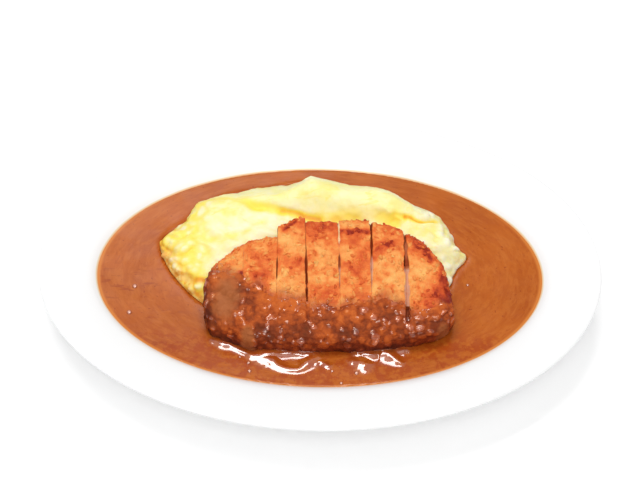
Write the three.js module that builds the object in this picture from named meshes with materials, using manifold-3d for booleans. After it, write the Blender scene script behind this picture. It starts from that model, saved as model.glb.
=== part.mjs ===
// A plated omurice: a soft folded omelette in a pool of brown curry on a white oval plate, with a
// sliced pork cutlet leaning on its front and more curry poured over the near half of the cutlet.
//
// Units are millimetres. The origin is on the table under the middle of the plate, +X is to the
// diner's right, +Y points away from the diner and +Z is up.

import * as THREE from "three";
import { ImprovedNoise } from "three/addons/math/ImprovedNoise.js";
import { mergeVertices } from "three/addons/utils/BufferGeometryUtils.js";
import Module from "manifold-3d";

// ---------------------------------------------------------------- driving dimensions

const GAP = 0.3; // clearance between pieces that touch

// Plate. An inset is a distance in from the outer edge of the rim, measured along X.
const PLATE = {
  length: 310,
  width: 224,
  height: 33,
  rimInset: 27, // where the rim turns down into the well
  rimDrop: 5.1,
  floorInset: 66,
  floorZ: 6.5,
  lipRadius: 1.7,
  rimThickness: 4,
  footOuterInset: 56.5,
  footInnerInset: 61.5,
  footChamfer: 1.2,
  recessZ: 2.4, // underside inside the foot ring
  insetRatio: 1.05, // rim width along Y over rim width along X
  segments: 64,
};

const CURRY_LEVEL = 24.2;

// Omelette. Its edge is where it meets the curry, and its surface is built up over that edge.
const OMELETTE = {
  centre: new THREE.Vector2(-4, 12),
  edge: [
    [-90, 21.8],
    [-86, 6],
    [-77, -9],
    [-65, -22],
    [-48, -33],
    [-25, -43],
    [5, -46],
    [35, -44],
    [58, -33],
    [69, -14],
    [73.5, -2.5],
    [76.5, 5],
    [82, 12.5],
    [77, 20.5],
    [72, 27.5],
    [67, 36],
    [58, 43],
    [47, 49],
    [24, 60],
    [0, 68],
    [-18, 67],
    [-36, 61],
    [-54, 57],
    [-68, 46],
    [-80, 33.5],
  ],
  lipHeight: 4.2, // of the rounded edge above the curry
  lipRadius: 5,
  sheetRise: 12, // of the broad sheet towards the middle
  sheetReach: 24, // distance from the edge over which the sheet rises
  bedClearance: 0.6, // under the omelette, which rests on the well's facets
  segments: 96,
};

// The rolled-over back fold: its crest as [x, y, height above the sheet] from left to right.
const FOLD_CREST = [
  [-76, 33, 1.5],
  [-62, 37, 9],
  [-50, 36.5, 9.5],
  [-38, 37.5, 7.5],
  [-24, 40.5, 9.5],
  [-5, 45, 14.5],
  [10, 42, 13],
  [26, 38, 13.5],
  [40, 32.5, 12],
  [55, 25, 8],
  [66, 19.5, 4.5],
  [78, 15, 0.5],
];
const FOLD_FRONT_WIDTH = 9;
const FOLD_BACK_WIDTH = 13;
// The crease under the fold, as [x, y], and the smaller folds, as [x, y, radius, height].
const CREASE = [
  [-66, 30],
  [-38, 31],
  [-19, 28],
  [-5, 26.5],
  [5, 25],
  [34, 24.5],
  [50, 21],
  [62, 16],
];
const CREASE_DEPTH = 3.2;
const CREASE_WIDTH = 3.4;
const SMALL_FOLDS = [
  [-83, 20, 6, 2.6],
  [-76, 8, 5, 2],
  [-70, -6, 6, 2.4],
  [-63, 3, 7, -2.6],
  [-60, -14, 6.5, 3],
  [-50, 12, 12, 2],
  [-38, 16, 7, -1.6],
  [-27, 22, 9, 1.4],
  [62, 8, 9, 3],
  [74, 12, 6, 2.2],
  [70, 0, 5, -1.5],
  [68, 22, 6, 1.8],
];

// Cutlet. Its own frame has z = 0 on the top face, y towards the back, and is tilted about X.
const CUTLET = {
  place: new THREE.Vector3(4, -22, 45.5),
  tilt: THREE.MathUtils.degToRad(15),
  thickness: 15,
  squareness: 3.4, // superellipse power of the cross-section
  cragHeight: 1.2,
  cragSize: 5.5,
  sectionPoints: 26,
  stationPitch: 3,
};
// Plan outline of the uncut cutlet: front and back edges as [x, y] from the left tip to the right.
const CUTLET_FRONT = [
  [-65.2, -7],
  [-64.2, -15],
  [-60.5, -22.5],
  [-54, -28.3],
  [-46, -32],
  [-30, -34.6],
  [-8, -35.2],
  [15, -34.6],
  [38, -32.6],
  [53, -29],
  [61, -24],
  [64.6, -16],
  [65.7, -8],
];
const CUTLET_BACK = [
  [-65.2, -7],
  [-64.6, 1],
  [-61.8, 9.5],
  [-55, 18.3],
  [-44.5, 24.5],
  [-28, 31.5],
  [-14, 36.5],
  [8, 37.6],
  [24, 36.8],
  [38, 34.4],
  [48, 29.8],
  [58, 18.5],
  [63.8, 6],
  [65.7, -8],
];
// Knife cuts: x at the back edge, x at the front edge, the width of the opened cut and how far
// the cut's foot lies to the left of its top.
const CUTS = [
  [-45.6, -45.2, 0.5, 0],
  [-27.3, -26.6, 0.7, 0.3],
  [-12.4, -9.6, 1.1, 0.4],
  [6, 7.8, 1.1, 2],
  [23.8, 24.5, 1.4, 2.8],
  [42.3, 43.8, 2.2, 4.5],
];
// How far each slice's back edge stands out from the outline, and how far that edge is lifted.
const SLICE_BACK_JOG = [0, -1, 1.6, 0, 1.2, 0.3, -1.6];
const SLICE_LIFT = [-0.5, 0.2, 1, 0.1, 0.9, 0.3, -0.8];

// Curry poured over the cutlet: the upper limit of the coat as [x, y] in the cutlet's frame.
const COAT_THICKNESS = 1.6;
const COAT_LIMIT = [
  [-80, 8],
  [-57, 6.5],
  [-47, 3],
  [-41, -2.5],
  [-34, -5],
  [-26, -8.5],
  [-18, -12],
  [-8, -13.5],
  [6, -12.5],
  [18, -11],
  [30, -8.5],
  [38, -10],
  [43, -15],
  [52, -16.5],
  [59, -13],
  [65, -9],
  [80, -8],
];

// ---------------------------------------------------------------- helpers

const wasm = await Module();
wasm.setup();
const perlin = new ImprovedNoise();

// A smooth curve through [x, y] pairs, read as y at x.
function curveThrough(pairs, column = 1) {
  const curve = new THREE.CubicInterpolant(
    pairs.map((p) => p[0]),
    pairs.map((p) => p[column]),
    1,
  );
  return (x) => curve.evaluate(x)[0];
}

function bell(distance, width) {
  return Math.exp(-0.5 * (distance / width) ** 2);
}

function unevenness(x, y, z, size) {
  return perlin.noise(x / size + 31.7, y / size + 17.3, z / size + 5.1);
}

function middleOf(ring) {
  const sum = ring.reduce((total, p) => total.add(p), new THREE.Vector3());
  return sum.divideScalar(ring.length);
}

// Skins a row of closed rings. An end that is a single point closes the skin there, and an end
// that is a ring is closed by a fan round its middle.
function loft(rings) {
  const cap = (end) => (end.isVector3 ? end : middleOf(end));
  const inner = rings.filter((ring) => !ring.isVector3);
  const count = inner[0].length;
  const points = [cap(rings[0]), ...inner.flat(), cap(rings.at(-1))];
  const index = [];
  for (let j = 0; j < count; j++) {
    const next = (j + 1) % count;
    index.push(0, 1 + next, 1 + j);
    for (let i = 0; i + 1 < inner.length; i++) {
      const [low, high] = [1 + i * count, 1 + (i + 1) * count];
      index.push(low + j, low + next, high + next);
      index.push(low + j, high + next, high + j);
    }
    const last = 1 + (inner.length - 1) * count;
    index.push(last + j, last + next, points.length - 1);
  }
  const geometry = new THREE.BufferGeometry().setFromPoints(points);
  return geometry.setIndex(index);
}

function toSolid(geometry) {
  const bare = geometry.clone();
  bare.deleteAttribute("normal");
  bare.deleteAttribute("uv");
  const merged = mergeVertices(bare);
  return new wasm.Manifold(
    new wasm.Mesh({
      numProp: 3,
      vertProperties: new Float32Array(merged.attributes.position.array),
      triVerts: new Uint32Array(merged.index.array),
    }),
  );
}

function toGeometry(solid) {
  const mesh = solid.getMesh();
  return new THREE.BufferGeometry()
    .setAttribute("position", new THREE.BufferAttribute(mesh.vertProperties, 3))
    .setIndex(new THREE.BufferAttribute(mesh.triVerts, 1));
}

function mesh(name, geometry, material) {
  const made = new THREE.Mesh(geometry, material);
  made.name = name;
  return made;
}

// ---------------------------------------------------------------- plate

const knee = new THREE.Vector2(PLATE.rimInset, PLATE.height - PLATE.rimDrop);
const rimSlope = PLATE.rimDrop / (PLATE.rimInset - PLATE.lipRadius);

// The well's wall, from the rim's inner edge down to the flat floor.
const wellWall = new THREE.CubicBezierCurve(
  knee,
  new THREE.Vector2(knee.x + 4.5, knee.y - 4.5 * rimSlope),
  new THREE.Vector2(46, PLATE.floorZ),
  new THREE.Vector2(PLATE.floorInset, PLATE.floorZ),
);
const wellZ = curveThrough(wellWall.getPoints(24).map((p) => [p.x, p.y]));

function ellipse(inset, z, segments = PLATE.segments) {
  return Array.from({ length: segments }, (_, i) => {
    const turn = (2 * Math.PI * i) / segments;
    const x = (PLATE.length / 2 - inset) * Math.cos(turn);
    const y = (PLATE.width / 2 - inset * PLATE.insetRatio) * Math.sin(turn);
    return new THREE.Vector3(x, y, z);
  });
}

// The inset whose ellipse passes through a point, found by halving.
function insetAt(x, y) {
  let [low, high] = [0, PLATE.floorInset];
  for (let step = 0; step < 24; step++) {
    const inset = (low + high) / 2;
    const a = PLATE.length / 2 - inset;
    const b = PLATE.width / 2 - inset * PLATE.insetRatio;
    if ((x / a) ** 2 + (y / b) ** 2 < 1) low = inset;
    else high = inset;
  }
  return high;
}

function plateTopZ(x, y) {
  const inset = insetAt(x, y);
  return inset > PLATE.floorInset - 0.01 ? PLATE.floorZ : wellZ(inset);
}

function plate() {
  const lipZ = PLATE.height - PLATE.lipRadius;
  const underside = new THREE.CubicBezierCurve(
    new THREE.Vector2(PLATE.footOuterInset - PLATE.footChamfer, 1),
    new THREE.Vector2(50, 4.5),
    new THREE.Vector2(34, 24),
    new THREE.Vector2(PLATE.lipRadius, PLATE.height - PLATE.rimThickness),
  );
  const profile = [
    [PLATE.footInnerInset + PLATE.footChamfer, PLATE.recessZ],
    [PLATE.footInnerInset, 0],
    [PLATE.footOuterInset, 0],
    ...underside.getPoints(5).map((p) => [p.x, p.y]),
    [0, lipZ - 0.3],
    [0.2, PLATE.height - 0.7],
    [PLATE.lipRadius, PLATE.height],
    ...wellWall.getPoints(6).map((p) => [p.x, p.y]),
  ];
  return loft([
    new THREE.Vector3(0, 0, PLATE.recessZ),
    ...profile.map(([inset, z]) => ellipse(inset, z)),
    new THREE.Vector3(0, 0, PLATE.floorZ),
  ]);
}

// ---------------------------------------------------------------- omelette

const crestY = curveThrough(FOLD_CREST, 1);
const crestRise = curveThrough(FOLD_CREST, 2);
const creaseY = curveThrough(CREASE);

// Height that the cutlet leaves free over a point of the table: up to its underside where it
// covers the point, and rising steeply beyond its edge.
function roomUnderCutlet(x, y) {
  const u = x - CUTLET.place.x;
  const v = (y - CUTLET.place.y) / Math.cos(CUTLET.tilt);
  const beyondBack = v - cutletBack(u) - 3;
  const beyondFront = cutletFront(u) - v;
  const beyondSide = Math.abs(u) - RIGHT_TIP - 1;
  const beyond = Math.max(beyondBack, beyondFront, beyondSide, 0);
  const along = (y - CUTLET.place.y) * Math.tan(CUTLET.tilt);
  const down = CUTLET.thickness + CUTLET.cragHeight + GAP;
  return (
    CUTLET.place.z + along - down / Math.cos(CUTLET.tilt) + 1.2 * beyond
  );
}

function omeletteZ(x, y, fromEdge) {
  const { lipHeight, lipRadius, sheetRise, sheetReach } = OMELETTE;
  const roundness = Math.max(0, 1 - fromEdge / lipRadius);
  const lip = lipHeight * Math.sqrt(1 - roundness ** 2);
  const sheet = sheetRise * (1 - Math.exp(-fromEdge / sheetReach));
  const fade = 1 - Math.exp(-fromEdge / 7);
  const off = y - crestY(x);
  const width = off > 0 ? FOLD_BACK_WIDTH : FOLD_FRONT_WIDTH;
  const fold = crestRise(x) * bell(off, width);
  const crease = CREASE_DEPTH * bell(y - creaseY(x), CREASE_WIDTH);
  const inCrease = crease * bell(x, 42);
  let z = CURRY_LEVEL + lip + sheet + (fold - inCrease) * fade;
  for (const [foldX, foldY, radius, height] of SMALL_FOLDS)
    z += height * fade * bell(Math.hypot(x - foldX, y - foldY), radius * 0.7);
  z += 0.7 * fade * unevenness(x, y, 0, 9);
  return Math.min(z, roomUnderCutlet(x, y));
}

// The omelette grown by a clearance on every side, so that the same form also cuts the curry.
function omelette(clearance = 0) {
  const { centre, segments, lipRadius } = OMELETTE;
  const outline = new THREE.CatmullRomCurve3(
    OMELETTE.edge.map(([x, y]) => new THREE.Vector3(x, y, 0)),
    true,
    "centripetal",
  );
  const edge = outline.getPoints(segments).slice(0, -1);
  const at = (share, z) =>
    edge.map((p, i) => {
      const ruffle = 1.1 * Math.sin(i * 1.9) * unevenness(i, 0, 3, 2.3);
      const out = new THREE.Vector2(p.x, p.y).sub(centre);
      const reach = out.length() + ruffle + clearance;
      out.setLength(reach * share).add(centre);
      const fromEdge = reach * (1 - share);
      return new THREE.Vector3(out.x, out.y, z(out.x, out.y, fromEdge));
    });
  const under = OMELETTE.bedClearance - 6 * clearance;
  const onPlate = (x, y) => Math.min(plateTopZ(x, y) + under, CURRY_LEVEL - 3);
  const surface = (x, y, fromEdge) => omeletteZ(x, y, fromEdge) + clearance;
  const lip = lipRadius / 60;
  const top = [1 - lip / 4, 1 - lip, 0.87, 0.81, 0.75, 0.68, 0.61, 0.54];
  return loft([
    new THREE.Vector3(centre.x, centre.y, onPlate(centre.x, centre.y)),
    at(0.5, onPlate),
    at(0.78, onPlate),
    at(0.92, onPlate),
    at(0.99, () => CURRY_LEVEL - 2),
    at(1, () => CURRY_LEVEL + 0.6),
    ...[...top, 0.45, 0.35, 0.2].map((share) => at(share, surface)),
    new THREE.Vector3(
      centre.x,
      centre.y,
      surface(centre.x, centre.y, OMELETTE.sheetReach * 2),
    ),
  ]);
}

// ---------------------------------------------------------------- cutlet and its coat

const cutletFront = curveThrough(CUTLET_FRONT);
const cutletBack = curveThrough(CUTLET_BACK);
const coatLimit = curveThrough(COAT_LIMIT);
const [LEFT_TIP, RIGHT_TIP] = [CUTLET_FRONT[0][0], CUTLET_FRONT.at(-1)[0]];

// Cross-section of the cutlet at x, with the crust's crags on it and grown by a clearance. xAt
// gives the x of each point from its y and z, because a cut face may run at a slant. Under the
// poured curry the crags fade out, and crags on the curry itself are asked for as lumps.
function section(x, xAt, { clearance = 0, jog = 0, lift = 0, lumps = 0 } = {}) {
  const { thickness, squareness, cragHeight, cragSize } = CUTLET;
  const inside = THREE.MathUtils.clamp(x, LEFT_TIP + 0.4, RIGHT_TIP - 0.4);
  const front = cutletFront(inside);
  const back = cutletBack(inside);
  const half = (back - front) / 2;
  const middle = (back + front) / 2;
  const taper = Math.min(1, (half / 24) ** 0.5);
  const round = (value) =>
    Math.sign(value) * Math.abs(value) ** (2 / squareness);
  return Array.from({ length: CUTLET.sectionPoints }, (_, i) => {
    const turn = (2 * Math.PI * i) / CUTLET.sectionPoints;
    const across = round(Math.cos(turn));
    const up = round(Math.sin(turn));
    const bare = Math.max(0, across);
    const y = middle + across * half + bare * jog;
    const z = ((up * taper - 1) * thickness) / 2 + bare ** 2 * lift;
    const uncoated = THREE.MathUtils.smoothstep(y - coatLimit(x), 0, 5);
    const crag =
      cragHeight * uncoated * unevenness(x, y, z, cragSize) +
      lumps * (1 + unevenness(x, y, z, 7));
    return new THREE.Vector3(
      xAt(y, z),
      y + across * clearance + across ** 3 * crag,
      z + up * clearance + up ** 3 * crag,
    );
  });
}

// A cut face as a function of y and z, moved sideways by half of its opening and by a clearance.
function cutFace([back, front, opening, lean], side, clearance) {
  const shift = side * (clearance - opening / 2);
  const slope = lean / CUTLET.thickness;
  return (y, z) =>
    THREE.MathUtils.mapLinear(y, 36, -36, back, front) + slope * z + shift;
}

// A stretch of the cutlet between two cut faces. A missing cut means that it runs on to the tip,
// where its sections close to a point.
function cutletStretch(leftCut, rightCut, options = {}) {
  const faces = (clearance) => [
    leftCut ? cutFace(leftCut, -1, clearance) : () => LEFT_TIP - clearance,
    rightCut ? cutFace(rightCut, 1, clearance) : () => RIGHT_TIP + clearance,
  ];
  const [start, end] = faces(0).map((face) => face(0, 0));
  const [left, right] = faces(options.clearance ?? 0);
  const count = Math.round((end - start) / CUTLET.stationPitch);
  const rings = [];
  for (let i = 0; i <= count; i++) {
    // Stations crowd together towards a rounded tip.
    let share = i / count;
    if (!leftCut) share = 1 - Math.cos((share * Math.PI) / 2);
    if (!rightCut) share = Math.sin((share * Math.PI) / 2);
    const xAt = (y, z) =>
      THREE.MathUtils.lerp(left(y, z), right(y, z), share);
    const ring = section(start + (end - start) * share, xAt, options);
    const tip = (!leftCut && i === 0) || (!rightCut && i === count);
    rings.push(tip ? middleOf(ring) : ring);
  }
  return loft(rings);
}

function slice(number, clearance = 0) {
  return cutletStretch(CUTS[number - 1], CUTS[number], {
    clearance,
    jog: SLICE_BACK_JOG[number],
    lift: SLICE_LIFT[number],
  });
}

const SLICE_NUMBERS = SLICE_BACK_JOG.map((_, number) => number);

// The coat is the uncut cutlet grown by the coat's thickness, less the cutlet with its clearance
// and less everything behind the coat's limit.
function coat() {
  const bounds = new THREE.Shape()
    .moveTo(-80, -60)
    .lineTo(80, -60)
    .lineTo(...COAT_LIMIT.at(-1))
    .splineThru(
      COAT_LIMIT.slice(0, -1)
        .reverse()
        .map(([x, y]) => new THREE.Vector2(x, y)),
    );
  const front = new THREE.ExtrudeGeometry(bounds, {
    depth: 40,
    bevelEnabled: false,
    curveSegments: 3,
  }).translate(0, 0, -CUTLET.thickness + 2);
  const grown = cutletStretch(undefined, undefined, {
    clearance: COAT_THICKNESS,
    lumps: 0.5,
  });
  const room = cutletStretch(undefined, undefined, { clearance: GAP });
  const skin = toSolid(grown).intersect(toSolid(front)).subtract(toSolid(room));
  return toGeometry(largest(skin));
}

// Cutting leaves crumbs where two uneven faces graze each other, so only the main body is kept.
function largest(solid) {
  const bodies = solid.decompose();
  return bodies.reduce((a, b) => (b.volume() > a.volume() ? b : a));
}

function inCutletFrame(geometry) {
  return geometry.clone().rotateX(CUTLET.tilt).translate(...CUTLET.place);
}

// ---------------------------------------------------------------- curry pool

function curryPool() {
  const { floorInset, floorZ } = PLATE;
  const wallPoints = wellWall.getPoints(6).filter((p) => p.y < CURRY_LEVEL - 1);
  const wall = wallPoints
    .map((p) => ellipse(p.x + GAP * 1.5, p.y + GAP))
    .reverse();
  const shoreInset = shoreline() + GAP * 1.5;
  const pool = loft([
    new THREE.Vector3(0, 0, floorZ + GAP),
    ellipse(floorInset + 14, floorZ + GAP),
    ...wall,
    ellipse(shoreInset, CURRY_LEVEL + 0.3),
    ellipse(shoreInset + 2.5, CURRY_LEVEL),
    ellipse(shoreInset + 30, CURRY_LEVEL),
    new THREE.Vector3(0, 0, CURRY_LEVEL),
  ]);
  const cutlet = cutletStretch(undefined, undefined, {
    clearance: COAT_THICKNESS + GAP,
    lumps: 0.5,
  });
  const cut = toSolid(pool)
    .subtract(toSolid(omelette(GAP)))
    .subtract(toSolid(inCutletFrame(cutlet)));
  return toGeometry(largest(cut));
}

// The inset at which the well's wall meets the curry's surface.
function shoreline() {
  let [low, high] = [PLATE.rimInset, PLATE.floorInset];
  for (let step = 0; step < 24; step++) {
    const inset = (low + high) / 2;
    if (wellZ(inset) > CURRY_LEVEL) low = inset;
    else high = inset;
  }
  return low;
}

// ---------------------------------------------------------------- assembly

function matter(color, roughness) {
  return new THREE.MeshStandardMaterial({ color, roughness, metalness: 0 });
}

const porcelain = matter(0xf7f6f4, 0.12);
const curry = matter(0xb8642c, 0.25);
const egg = matter(0xf8e98c, 0.45);
const crust = matter(0xdd8140, 0.75);

const cutletGroup = new THREE.Group();
cutletGroup.position.copy(CUTLET.place);
cutletGroup.rotation.x = CUTLET.tilt;
for (const number of SLICE_NUMBERS)
  cutletGroup.add(mesh(`cutlet_slice_${number + 1}`, slice(number), crust));
cutletGroup.add(mesh("curry_coat", coat(), curry));

const omurice = new THREE.Group();
omurice.add(
  mesh("plate", plate(), porcelain),
  mesh("curry_pool", curryPool(), curry),
  mesh("omelette", omelette(), egg),
  cutletGroup,
);

export default omurice;
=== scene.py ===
"""Looks of the plated omurice: porcelain, curry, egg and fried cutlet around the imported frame."""
import math
from contextlib import contextmanager

import bmesh
import bpy
import numpy as np
from mathutils import Matrix, Vector
from mathutils.bvhtree import BVHTree


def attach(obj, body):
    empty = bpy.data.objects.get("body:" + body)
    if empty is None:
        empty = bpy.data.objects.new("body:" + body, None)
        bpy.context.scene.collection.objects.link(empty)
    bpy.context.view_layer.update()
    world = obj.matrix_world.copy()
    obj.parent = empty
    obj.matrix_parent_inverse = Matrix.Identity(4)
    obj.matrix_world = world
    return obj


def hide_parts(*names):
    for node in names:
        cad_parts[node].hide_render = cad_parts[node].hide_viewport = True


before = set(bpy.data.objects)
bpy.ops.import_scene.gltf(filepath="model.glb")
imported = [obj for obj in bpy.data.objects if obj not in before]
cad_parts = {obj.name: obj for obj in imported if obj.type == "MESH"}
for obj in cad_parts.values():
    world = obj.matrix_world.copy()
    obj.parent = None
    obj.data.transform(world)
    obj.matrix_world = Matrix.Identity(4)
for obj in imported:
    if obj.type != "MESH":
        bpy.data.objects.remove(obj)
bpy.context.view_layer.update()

MM = 0.001

# ---------- named sizes, in millimetres

# The cutlet's own frame: z = 0 on its top face, y up its slope, as the solids have it.
CUTLET_PLACE = np.array([4.0, -22.0, 45.5])
CUTLET_TURN = np.array(Matrix.Rotation(math.radians(15), 3, "X"))
CUTLET_THICKNESS = 15.0
CUTLET_FRONT_Y, CUTLET_BACK_Y = -36, 36
SLICES = [f"cutlet_slice_{n}" for n in range(1, 8)]

# A slice's face belongs to a knife cut if its normal's x is beyond CUT_NORMAL. The crust at the
# cutlet's two ends, beyond TIP_X, is as steep but isn't cut.
CUT_NORMAL = 0.93
TIP_X = 56

# Upper limit of the poured curry in the cutlet's frame, as the solids have it.
COAT_LIMIT = [
    (-80, 8), (-57, 6.5), (-47, 3), (-41, -2.5), (-34, -5), (-26, -8.5), (-18, -12), (-8, -13.5),
    (6, -12.5), (18, -11), (30, -8.5), (38, -10), (43, -15), (52, -16.5), (59, -13), (65, -9), (80, -8),
]

# Knife cuts: x at the back edge and at the front, opening, and how the cut looks along its length
# as (y, how far it stands open, tone of the meat in it from dark to pale). The tone is the meat's
# own colour with painted light in it: dark where the cut lies in shade, pale where light or the egg
# behind shows in it. Deeper down it is shut.
CUTS = [
    (-45.6, -45.2, 0.5, [(40, 0, 0.4)]),
    (-27.3, -26.6, 0.7, [(20, 0, 0.3), (13, 0, 0.4), (10, 0.9, 0.1), (2, 0.9, 0), (-1, 0, 0.4)]),
    (-12.4, -9.6, 1.1, [(24, 0.2, 0.3), (14, 0.6, 0.15), (11, 1, 0), (-2, 1, 0), (-4, 0.2, 0.3),
                        (-6, 0.9, 0)]),
    (6, 7.8, 1.1, [(24, 1.1, 1), (21, 0, 0.5), (16, 0, 0.4), (13, 1, 0.15), (9, 1, 0.15), (6, 0.7, 0.6),
                   (0, 0.5, 0.65), (-5, 0, 0.5)]),
    (23.8, 24.5, 1.4, [(17, 1, 0), (14, 0.9, 0.5), (6, 0.75, 0.6), (0, 0.5, 0.6), (-4, 0, 0.6)]),
    (42.3, 43.8, 2.2, [(16, 0.8, 0.3), (13, 1, 0), (10, 1, 0), (7, 1, 0.55), (-14, 1, 0.5),
                       (-20, 0.8, 0.3)]),
]
CUT_DEPTH = (1.7, 0.4)  # how deep a cut stands open where the meat in it is dark and where it is pale
CUT_OVERLAP = 0.08  # how far two slices press into each other where the cut between them is shut
OPEN_UNDER_COAT = (1.4, 7)  # the sixth cut still shows through the coat: half width and length

# The cutlet's back edge in its own frame, as the solids have it, and how far up the slope the crust
# stands out from it at each x. Its right end stands out to the right, by so much at each y.
CUTLET_BACK = [
    (-65.2, -7), (-64.6, 1), (-61.8, 9.5), (-55, 18.3), (-44.5, 24.5), (-28, 31.5), (-14, 36.5),
    (8, 37.6), (24, 36.8), (38, 34.4), (48, 29.8), (58, 18.5), (63.8, 6), (65.7, -8),
]
BACK_STAND_OUT = [
    (-66, 0), (-62.4, -0.8), (-59.5, -1.8), (-56, -3), (-52.6, -2.8), (-49.8, -1.5), (-47, -0.5),
    (-43, 0), (-37.5, -1.2), (-33, -2.2), (-29.3, -3.3), (-27.4, -3.8), (-27.1, -0.6), (-22.6, 0),
    (-16.2, 0.8), (-12.4, 0.8), (-12, 0), (42.6, 0), (43, 1.4), (48, 2), (52, 2.4), (58, 2.2), (64, 2),
    (66, 0),
]
RIGHT_STAND_OUT = [
    (-36, 2.8), (-25, 3.2), (-16, 3.2), (-11, 2.2), (-6, 1.2), (2, 1), (12, 1), (20, 0),
]
# Where each move begins and where it is whole: distance up the slope from the back edge, and x.
BACK_MOVES = (-15, -2)
RIGHT_MOVES = (46, 63)

# Sizes of the egg's curds, of the crumbs in the crust, and of the two kinds under the coat.
CURD_SIZE, CRUMB_SIZE = 6, 3.4
COAT_CRUMB_SIZE, SMALL_COAT_CRUMB_SIZE = 4.2, 2.4

# Flakes of crumb on the crust: the ranges of half their length, width and thickness.
FLAKE_SIZES = [(0.9, 2.0), (0.6, 1.2), (0.4, 0.6)]
FLAKES_PER_POINT = 0.026  # of the slices' grids
FLAKE_SUNK = 0.2  # how far a flake's middle lies below the crust's surface
FLAKE_UNEVEN = 0.22
FLAKE_TIPPED = 0.28
FLAKES_GLOSSY = 0.35  # share of the wet ones

# Bulges and hollows of the coat: middle on the plate, radius and height. The last two are a drip.
COAT_LUMPS = [
    ((-56, -42, 27), 8, 3.5), ((-38, -55.5, 29), 5.5, 2.8), ((-45.5, -52, 33), 3.5, -1.4),
    ((61, -38, 31), 6, 1.5), ((28, -52, 37.5), 3, 1), ((28, -55.5, 32), 3.2, 1.6),
]
# Where the curry has run smooth, in the cutlet's frame: middle, half width and half length.
RUNNY_PATCHES = [((-54, -12), 10, 19), ((-41.5, -33.5), 5, 6), ((60, -27), 4, 5)]

# Face sizes of the even grids that the solids are remade with, and how far the nearest face is
# looked for on the cutlet and round the pool.
SLICE_GRID, COAT_GRID, POOL_GRID = 0.55, 0.45, 0.95
CUTLET_REACH, POOL_REACH = 6.0, 9.0

CURRY_LEVEL = 24.2
SHORE = (123.5, 78.9)  # half length and half width of the curry's edge

# Folds pressed into the omelette: depth, half width, stain from pale yellow (0.2) to orange (1),
# and path. The stain is partly the wetter egg's own colour and partly painted shade in the fold.
FOLDS = [
    (0.9, 4.2, 0.5, [(-67, 41), (-56, 40), (-46, 36.5), (-34, 33)]),
    (1.2, 3, 0.42, [(-38, 34), (-30, 32.4), (-22, 30.6)]),
    (1.4, 2.3, 1, [(-22, 30.6), (-15, 29.6), (-8, 28.4), (-1, 27)]),
    (0.3, 4.5, 0.6, [(-1, 27), (14, 27.5), (28, 26.5), (40, 24.5)]),
    (1.2, 1.7, 0.5, [(40, 25.2), (47, 24.8)]),
    (1.4, 1.6, 0.9, [(47, 24.8), (54, 24.8), (60, 25.8), (63, 27)]),
    (0.3, 4, 0.35, [(50, 18), (60, 17)]),
    (1.6, 2.9, 1.05, [(-77, -5), (-73, -9), (-68, -12), (-60, -13.5)]),
    (0.4, 3.6, 0.75, [(-76, -14), (-70, -18), (-64, -21)]),
    (0.3, 4, 0.75, [(-90, 18), (-86, 12)]),
    (1, 1.7, 0.7, [(-86, 12), (-80, 6), (-75, 4.5), (-70, 8)]),
    (0.9, 1.5, 0.5, [(-85, 19), (-79, 16), (-72, 18)]),
    (0.6, 2.4, 0.3, [(-42, 14), (-38, 19), (-32, 22)]),
    (0.4, 2, 0.22, [(-60, 12), (-52, 12.5), (-46, 13.5)]),
    (0.4, 2.6, 0.18, [(-66, 30), (-58, 29), (-50, 27)]),
]

FOLD_LINE = [(-34, 33), (-22, 30.6), (-8, 28.4), (4, 26)]  # the front of the omelette's back ridge

# How far the omelette's back edge stands out from the solid's, along x.
BACK_EDGE = [
    (-92, -2.5), (-84, -2.2), (-76, -1), (-72, 1.5), (-68.5, 3.2), (-65, 2), (-61, 0.4), (-54, -1.4),
    (-48, -2.6), (-40, -0.8), (-36, -0.3), (-28, -1.2), (-20, -2.6), (-12, -1.8), (-6, 1), (0, 0),
    (16, 0), (23, 1.2), (30, 2.8), (37, 3.2), (45, 2.4), (52, 2), (60, 2.8), (65, 3.4), (70, 2.2),
    (74, 0.2), (78, -0.8), (83, 0.4), (88, 0.8),
]

# The x over which the smooth sheet begins after the curdled left end, and ends before the right one.
EGG_LEFT = (-68, -52)
EGG_RIGHT = (48, 62)

# Browned and pale places on the crust in the cutlet's frame: strength, radius and path. Two of the
# dark ones are painted shadow lines under raised back edges.
BROWNED = [
    (0.75, 1.7, [(-45.6, 2.5), (-45.8, -1.5)]),
    # Painted shadow under the raised back lips of the third and fifth slices, the third partly browned:
    (0.5, 1.7, [(-23.6, 31), (-17.5, 34.5)]),
    (0.45, 1.7, [(9, 30.2), (15, 29.4), (22, 28.6)]),
    (-0.15, 3, [(9, 34), (22, 33)]),
    (0.5, 1.8, [(31.5, 21.5), (34, 22.4)]),
    (0.45, 1.8, [(47.5, 22), (50.5, 20)]),
    (0.5, 2, [(53, 17.5), (56, 13)]),
    (0.3, 2.4, [(60, 11), (62, 3)]),
    (0.3, 2.8, [(-35, 2.5), (-31, 3.7)]),
    (-0.08, 6, [(-62, 6), (-52, 12)]),
    (0.3, 2.5, [(-66, 0), (-66, -10)]),
    (0.45, 2.8, [(62, 3), (64, -4), (65, -11)]),
    (0.2, 4, [(58, -3), (60, -9)]),
    (0.3, 3, [(-42, 8), (-37, 10)]),
    (0.3, 2.2, [(-14, 11), (-11, 9.5)]),
    (0.25, 2, [(-20, 2.5), (-18, 1)]),
    (0.2, 5, [(-9, 31), (3, 32)]),
    (0.2, 3.5, [(12, 8), (17, 2)]),
    (-0.3, 5, [(-22, 23), (-19, 16)]),
    (-0.14, 4.5, [(-4, 19), (0, 14)]),
    (-0.12, 4.5, [(31, 12), (35, 7)]),
    (-0.2, 3.5, [(-22, 4), (-17, 1)]),
    (0.08, 4, [(-38, 20), (-34, 16)]),
    (-0.1, 4, [(50, 5), (53, 0)]),
    (0.04, 3.5, [(14, 19), (20, 14)]),
    (0.15, 4, [(30, 26), (36, 22)]),
]

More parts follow.
